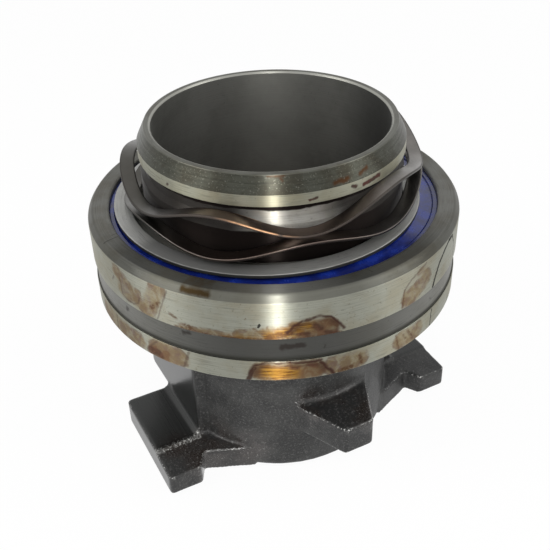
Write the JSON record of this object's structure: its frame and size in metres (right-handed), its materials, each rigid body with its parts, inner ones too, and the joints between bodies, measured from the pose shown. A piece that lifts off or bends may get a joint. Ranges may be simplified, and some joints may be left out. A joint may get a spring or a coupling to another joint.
{
  "type": "clutch release bearing",
  "caption": "Pull-type clutch release bearing: a cast sleeve with fork lugs carries a sealed ball bearing whose inner ring ends in a grooved nose with a wave spring.",
  "frame": {"origin": "on the bearing's axis, at the sleeve's base", "axes": "+Z along the axis from the gearbox side to the nose; X through the two fork lugs; -Y towards the front lug"},
  "size_m": [0.137, 0.137, 0.1297],
  "materials": {
    "cast_iron": "dark, oily sand casting with milled pads",
    "bearing_steel": "turned and ground, with oil-varnish stains",
    "ball_steel": "polished",
    "spring_steel": "dark tempered flat wire",
    "washer_steel": "satin grey",
    "seal_rubber": "smooth blue rubber",
    "cage_plastic": "natural moulded polyamide",
    "bush_bronze": "plain turned bronze"
  },
  "bodies": {
    "housing": {"sleeve": "cast_iron", "lower_guide_bush": "bush_bronze", "upper_guide_bush": "bush_bronze", "outer_ring": "bearing_steel", "upper_seal": "seal_rubber", "lower_seal": "seal_rubber", "disc_spring": "spring_steel", "retaining_ring": "spring_steel"},
    "inner": {"inner_ring": "bearing_steel", "thrust_washer": "washer_steel", "wave_spring": "spring_steel"},
    "cage": {"ball_cage": "cage_plastic", "ball_01": "ball_steel", "ball_02": "ball_steel", "ball_03": "ball_steel", "ball_04": "ball_steel", "ball_05": "ball_steel", "ball_06": "ball_steel", "ball_07": "ball_steel", "ball_08": "ball_steel", "ball_09": "ball_steel", "ball_10": "ball_steel", "ball_11": "ball_steel", "ball_12": "ball_steel", "ball_13": "ball_steel", "ball_14": "ball_steel", "ball_15": "ball_steel", "ball_16": "ball_steel", "ball_17": "ball_steel", "ball_18": "ball_steel", "ball_19": "ball_steel", "ball_20": "ball_steel"}
  },
  "joints": [
    {"name": "inner_spin", "type": "hinge", "parent": "housing", "child": "inner", "pos_m": [0, 0, 0.087], "axis": [0, 0, 1], "continuous": true},
    {"name": "cage_spin", "type": "hinge", "parent": "housing", "child": "cage", "pos_m": [0, 0, 0.087], "axis": [0, 0, 1], "continuous": true}
  ],
  "couplings": [
    {"joint": "cage_spin", "follows": "inner_spin", "ratio": 0.444}
  ]
}
